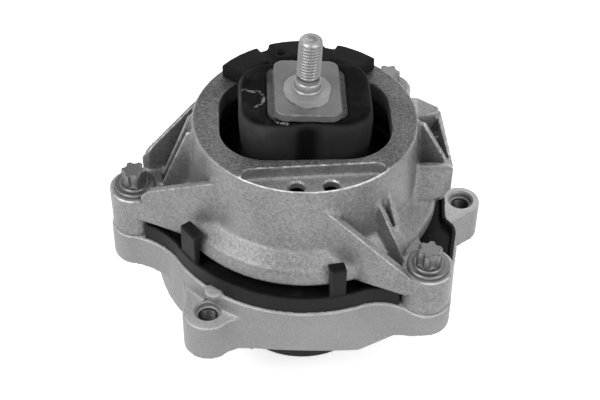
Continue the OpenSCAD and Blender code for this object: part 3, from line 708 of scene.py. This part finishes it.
def zinc_finish(name, level, rough):
    """Zinc-plated steel with a faint crystal mottling, and painted shade darkening faces that look straight
    up.
    """
    material, tree, shader = new_finish(name, metallic=0.65)
    place = object_place(tree)
    marks = use_group(tree, HANDLING_MARKS, Place=place, Streak_Scale=260.0, Stretch=(1.0, 1.0, 1.6),
                      Base=grey(level), Rubbed=grey(level * 0.62), Amount=0.8)
    # Painted shade: faces that look straight up are darkened to half the grey
    color = add_mix(tree, add_range(tree, upwardness(tree), 0.9, 0.99), marks["Color"], grey(level * 0.5))
    tree.links.new(color, shader.inputs["Base Color"])
    tree.links.new(add_range(tree, marks["Mask"], 0.0, 1.0, rough, rough + 0.12), shader.inputs["Roughness"])
    add_bump(tree, shader, marks["Height"], 0.15, 0.00008)
    return material


# Pieces

def side_box_front(points):
    """The side box's front wall spreads over the lip in one smooth sweep."""
    x, y, z = points.T
    wall = ramp(x, 49.5, 3.0) * ramp(-x, -76.5, 4.0) * ramp(y, -29.0, 2.0) * ramp(-y, 13.2, 1.5)
    return wall * ramp(z, 56.5, 2.0) * ramp(-z, -76.0, 3.0)


def make_housing(material):
    plugs = [(x, y, POCKET_HOLE_R + 0.8, POCKET_FLOOR - 4.1, POCKET_FLOOR - 0.1) for x, y in POCKET_HOLES]
    piece = copy_node("upper_housing", "housing_casting", plugs)
    voxel = 0.68
    remesh(piece, voxel)
    soften(piece, voxel, all_over=1, hollows=16, spread=4, sweep=side_box_front)
    mark_edges(piece, voxel)
    mesh = piece.data
    x, y, z = (read_points(mesh) / MM).T
    level = ramp(read_normals(mesh)[:, 2], 0.55, 0.3)
    inside_rim = ramp(-np.hypot(x, y), 0.4 - RING_R, 0.8)
    put_mark(mesh, "ring_top", ramp(z, RING_TOP - 1.4, 0.7) * level * inside_rim)
    thin_out(piece, triangles=192000)
    cut_holes(piece, POCKET_HOLES, POCKET_HOLE)
    finish_piece(piece, material, "cast_housing", "upper_housing")


def make_base(material):
    plugs = [(x, y, 6.9, 0.3, EAR_H - 0.1) for x, y in EARS]
    piece = copy_node("base_plate", "base_casting", plugs)
    voxel = 0.75
    remesh(piece, voxel)
    soften(piece, voxel, all_over=1, hollows=8, spread=2)
    mark_edges(piece, voxel)
    thin_out(piece, triangles=150000)
    cut_holes(piece, EARS, EAR_HOLE)
    finish_piece(piece, material, "cast_plate", "base_plate")


def make_clip_ring(material):
    piece = copy_node("clip_ring", "clip_ring_moulding")
    voxel = 0.5
    remesh(piece, voxel)
    soften(piece, voxel, all_over=1, hollows=3)
    mark_edges(piece, voxel)
    thin_out(piece, triangles=110000)
    finish_piece(piece, material, "black_plastic", "clip_ring")


def distance_to_path(plan, path):
    """Distance in plan from each point to a path of straight stretches."""
    nearest = np.full(len(plan), np.inf)
    for a, b in zip(path, path[1:]):
        a, b = np.array(a), np.array(b)
        along = np.clip(((plan - a) @ (b - a)) / ((b - a) @ (b - a)), 0, 1)
        nearest = np.minimum(nearest, np.linalg.norm(plan - a - along[:, None] * (b - a), axis=1))
    return nearest


def point_noise(points, scale):
    return np.array([noise.noise(Vector(p) * scale) for p in points])


def make_spring(material):
    """Rubber block: small swellings, a nub, painted shade in the valley, a painted highlight on the left
    lobe, and torn scratches.
    """
    piece = copy_node("spring_rubber", "spring_block")
    voxel = 0.8
    remesh(piece, voxel)
    soften(piece, voxel, all_over=3, hollows=10)
    mesh = piece.data
    points = read_points(mesh) / MM
    x, y, z = points.T
    nub_height, lump_height = 1.1, 0.25
    nub = np.exp(-(((x + 29.5) / 2.2) ** 2 + ((y - 12.5) / 4.5) ** 2)) * ramp(z, 100.0, 5.0)
    lumps = point_noise(points, 0.11) * lump_height * ramp(z, 98.0, 4.0)
    points += (nub * nub_height + lumps)[:, None] * read_normals(mesh)
    write_points(mesh, points * MM)
    mark_edges(piece, voxel)
    # Painted shade in the valley between the lobes, merged into the hollow mark
    valley = np.exp(-((x - 1.2) / 6.5) ** 2) * ramp(-z, -109.0, 5.0)
    put_mark(mesh, "hollow", np.maximum(read_mark(mesh, "hollow"), valley))
    # Painted highlight on the left lobe's upper faces, stored as a mark for the finish
    put_mark(mesh, "lobe_highlight", ramp(-x, 8.0, 16.0) * ramp(z, 92.0, 10.0))
    tear = np.minimum(*(distance_to_path(points[:, :2], path) for path in (TORN_SCRATCH, TORN_FLASH)))
    put_mark(mesh, "torn", np.clip(1.6 - tear / 1.3, 0, 1) * ramp(z, 106.0, 2.0))
    thin_out(piece, triangles=120000)
    finish_piece(piece, material, "rubber", "spring_rubber")


def make_core(material):
    """Core with its pressed collar, and the rubber skin that reaches up round the plate's lower step."""
    piece = copy_node("core", "core_block")
    voxel = 0.5
    remesh(piece, voxel)
    soften(piece, voxel, all_over=1, hollows=2)
    mark_edges(piece, voxel)
    points = read_points(piece.data) / MM
    slope = math.tan(CORE_LEAN)
    # Plan places from the collar's middle, on the stud's leaning axis
    x = points[:, 0] - slope * (points[:, 2] - LEAN_Z)
    y = points[:, 1] + 1.6
    ragged = point_noise(points, 0.5) * 0.35
    skin = np.clip((CORE_TOP - 3.9 - points[:, 0] * slope - points[:, 2]) / 0.5 + ragged, 0, 1)
    left_end = ramp(-x, 14.5, 1.5) * ramp(-points[:, 1], -8.0, 2.0)
    put_mark(piece.data, "skin", skin * (1.0 - 0.35 * left_end))
    collar_r = 12.4 + np.clip(-y - 6.0, 0.0, None) * 0.28
    far_out = 3.0
    on_plate = points[:, 2] > CORE_TOP - 1.2
    put_mark(piece.data, "collar", np.where(on_plate, np.hypot(x, y) / collar_r, far_out))
    thin_out(piece, triangles=60000)
    finish_piece(piece, material, "core_aluminium", "core")


def make_buffer(material):
    piece = copy_node("stop_buffer", "stop_buffer_pad")
    voxel = 0.5
    remesh(piece, voxel)
    soften(piece, voxel, all_over=22, hollows=0)
    mark_edges(piece, voxel)
    thin_out(piece, triangles=50000)
    finish_piece(piece, material, "rubber", "stop_buffer")


def thread_depth(turn):
    """Depth share of a thread's groove over one turn, 0 at the crest and 1 at the root."""
    share = turn - math.floor(turn)
    slope = abs(2.0 * share - 1.0)
    return min(1.0, max(0.0, (slope - 0.12) / 0.72))


def make_stud(material):
    """Stud with a collared shank, a rolled thread and a chamfered end, leaning with the core."""
    segments, rows_per_turn = 72, 12.0
    pitch, crest, root = 1.75, 6.0, 4.95
    start, end = STUD_SHANK[-1][1], 28.2
    rows = lathe_rows([(r, CORE_TOP + z) for r, z in STUD_SHANK], segments)
    steps = int((end - start) / (pitch / rows_per_turn))
    for i in range(steps + 1):
        z = start + (end - start) * i / steps
        fade = min(1.0, (z - start) / 1.4 + 0.02, (end - z) / 1.2 + 0.02)
        depths = [thread_depth(z / pitch - s / segments) for s in range(segments)]
        radii = [root + (crest - (crest - root) * depth - root) * fade for depth in depths]
        rows.append(turned_row(radii, CORE_TOP + z))
    rows += lathe_rows([(r, CORE_TOP + z) for r, z in STUD_END], segments)
    mesh = grid_mesh("threaded_stud", rows)
    mesh.transform(lean_matrix())
    piece = link_object("threaded_stud", mesh)
    shade(piece, 40.0)
    finish_piece(piece, material, "zinc_steel", "stud")


def star_radius(turn, share):
    """Outline of the star head: six narrow lobes, with round flutes that have this share of their depth."""
    sixth = math.pi / 3.0
    from_flute = (turn + sixth / 2.0) % sixth - sixth / 2.0
    across = STAR_FLUTE_AXIS * math.sin(abs(from_flute))
    if across >= STAR_FLUTE_R:
        return STAR_TIP_R
    round_in = math.sqrt(STAR_FLUTE_R * STAR_FLUTE_R - across * across)
    flute = STAR_FLUTE_AXIS * math.cos(from_flute) - round_in
    return STAR_TIP_R + (min(flute, STAR_TIP_R) - STAR_TIP_R) * share


def make_screws(material):
    """Three flange screws with dished flanges and star heads."""
    segments = 144
    parts = []
    for (x, y), boss_top, degrees in zip(BOSSES, BOSS_TOPS, STAR_TURNS):
        first = math.radians(degrees)
        turns = [2.0 * math.pi * s / segments + first for s in range(segments)]
        rows = lathe_rows(SCREW_SHANK + SCREW_FLANGE, segments)
        rows += [turned_row([star_radius(t, share) for t in turns], z) for z, share in STAR_SIDE]
        rows += [turned_row([star_radius(t, 1.0) - inset for t in turns], z) for inset, z in STAR_END]
        rows += lathe_rows([(0.5, 11.05)], segments)
        parts.append((grid_mesh("star_screw", rows), (x, y, boss_top)))
    piece = link_object("star_screws", join_meshes("star_screws", parts))
    shade(piece, 30.0)
    finish_piece(piece, material, "zinc_steel", "flange_screws")


def make_ear_threads(material):
    """Threaded liners of the three ear holes."""
    segments, rows_per_turn = 64, 8.0
    pitch, root, ridge, outer = 1.5, 4.85, 0.75, 4.95
    bottom, top = 0.2, EAR_H - 3.4
    steps = int((top - bottom) / (pitch / rows_per_turn))
    rows = []
    for i in range(steps + 1):
        z = bottom + (top - bottom) * i / steps
        fade = min(1.0, (top - z) / 1.2, (z - bottom) / 1.2)
        depths = [thread_depth(z / pitch - s / segments) for s in range(segments)]
        rows.append(turned_row([root - ridge * (1.0 - depth) * fade for depth in depths], z))
    rows += lathe_rows([(outer, top), (outer, bottom)], segments)
    rows.append(rows[0])
    parts = []
    for x, y in EARS:
        mesh = grid_mesh("liner", rows[::-1], closed=False)
        work = bmesh.new()
        work.from_mesh(mesh)
        bmesh.ops.remove_doubles(work, verts=work.verts, dist=1e-7)
        work.to_mesh(mesh)
        work.free()
        parts.append((mesh, (x, y, 0.0)))
    piece = link_object("ear_threads", join_meshes("ear_threads", parts))
    shade(piece, 40.0)
    finish_piece(piece, material, "cast_plate")


def make_cup(material):
    """Deep-drawn black cup below the base plate: outside, flange and inside as one turned profile."""
    wall, corner, axis_r, steps = 2.0, 2.5, 0.5, 8
    turns = [math.radians(-90 + 90 * i / steps) for i in range(steps + 1)]
    bend_r, bend_z = CUP_R - corner, CUP_BOTTOM + corner
    outside = [(axis_r, CUP_BOTTOM), (20.0, CUP_BOTTOM)]
    outside += [(bend_r + corner * math.cos(t), bend_z + corner * math.sin(t)) for t in turns]
    outside += [(CUP_R, 0.0), (CUP_R - 0.5, 0.5), (CUP_R - 0.5, 7.0)]
    flange = [(CUP_R + 0.5, 8.0), (54.0, 8.0), (54.0, 10.0), (CUP_R - wall, 10.0)]
    floor = CUP_BOTTOM + wall
    inside = [(CUP_R - wall, floor + 1), (CUP_R - wall - 1, floor), (axis_r, floor)]
    piece = link_object("cup_pressing", grid_mesh("cup_pressing", lathe_rows(outside + flange + inside, 96)))
    shade(piece, 30.0)
    finish_piece(piece, material, "black_plastic", "lower_cup")


def repaint(material, *nodes):
    """Gives CAD nodes that keep their own shape a finish."""
    for node in nodes:
        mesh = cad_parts[node].data
        if not mesh.materials:
            mesh.materials.append(material)
        for i in range(len(mesh.materials)):
            mesh.materials[i] = material


place_camera()
light_room()
hang_lamps()
lay_paper()

spring_black = black_finish(
    "spring_rubber_skin", top=0.003, side=0.028, rubbed_and_edge_lit=0.06, rough=0.62, specular=0.03)
buffer_black = black_finish(
    "buffer_rubber_skin", top=0.008, side=0.014, rubbed_and_edge_lit=0.04, rough=0.6, specular=0.05)
clip_black = black_finish("clip_ring_plastic", top=0.006, side=0.015, rubbed_and_edge_lit=0.06, rough=0.5, specular=0.1)
cup_black = black_finish("cup_paint", top=0.008, side=0.01, rubbed_and_edge_lit=0.03, rough=0.4, specular=0.2)
core_skin = core_finish()

make_housing(housing_finish())
make_base(plate_finish())
make_clip_ring(clip_black)
make_spring(spring_black)
make_core(core_skin)
make_buffer(buffer_black)
make_stud(zinc_finish("stud_zinc", level=0.3, rough=0.36))
make_screws(zinc_finish("screw_zinc", level=0.17, rough=0.36))
# Near-black thread grey stands in for the deep shade inside the ear holes: painted shade
make_ear_threads(zinc_finish("thread_painted_shade", level=0.05, rough=0.4))
make_cup(cup_black)
repaint(spring_black, "membrane", "bellows", "fluid_seal")
repaint(zinc_finish("inner_steel", level=0.3, rough=0.4), "outer_sleeve", "bellows_ring")
repaint(core_skin, "upper_channel_plate", "lower_channel_plate")

bpy.context.scene.view_settings.view_transform = "Standard"
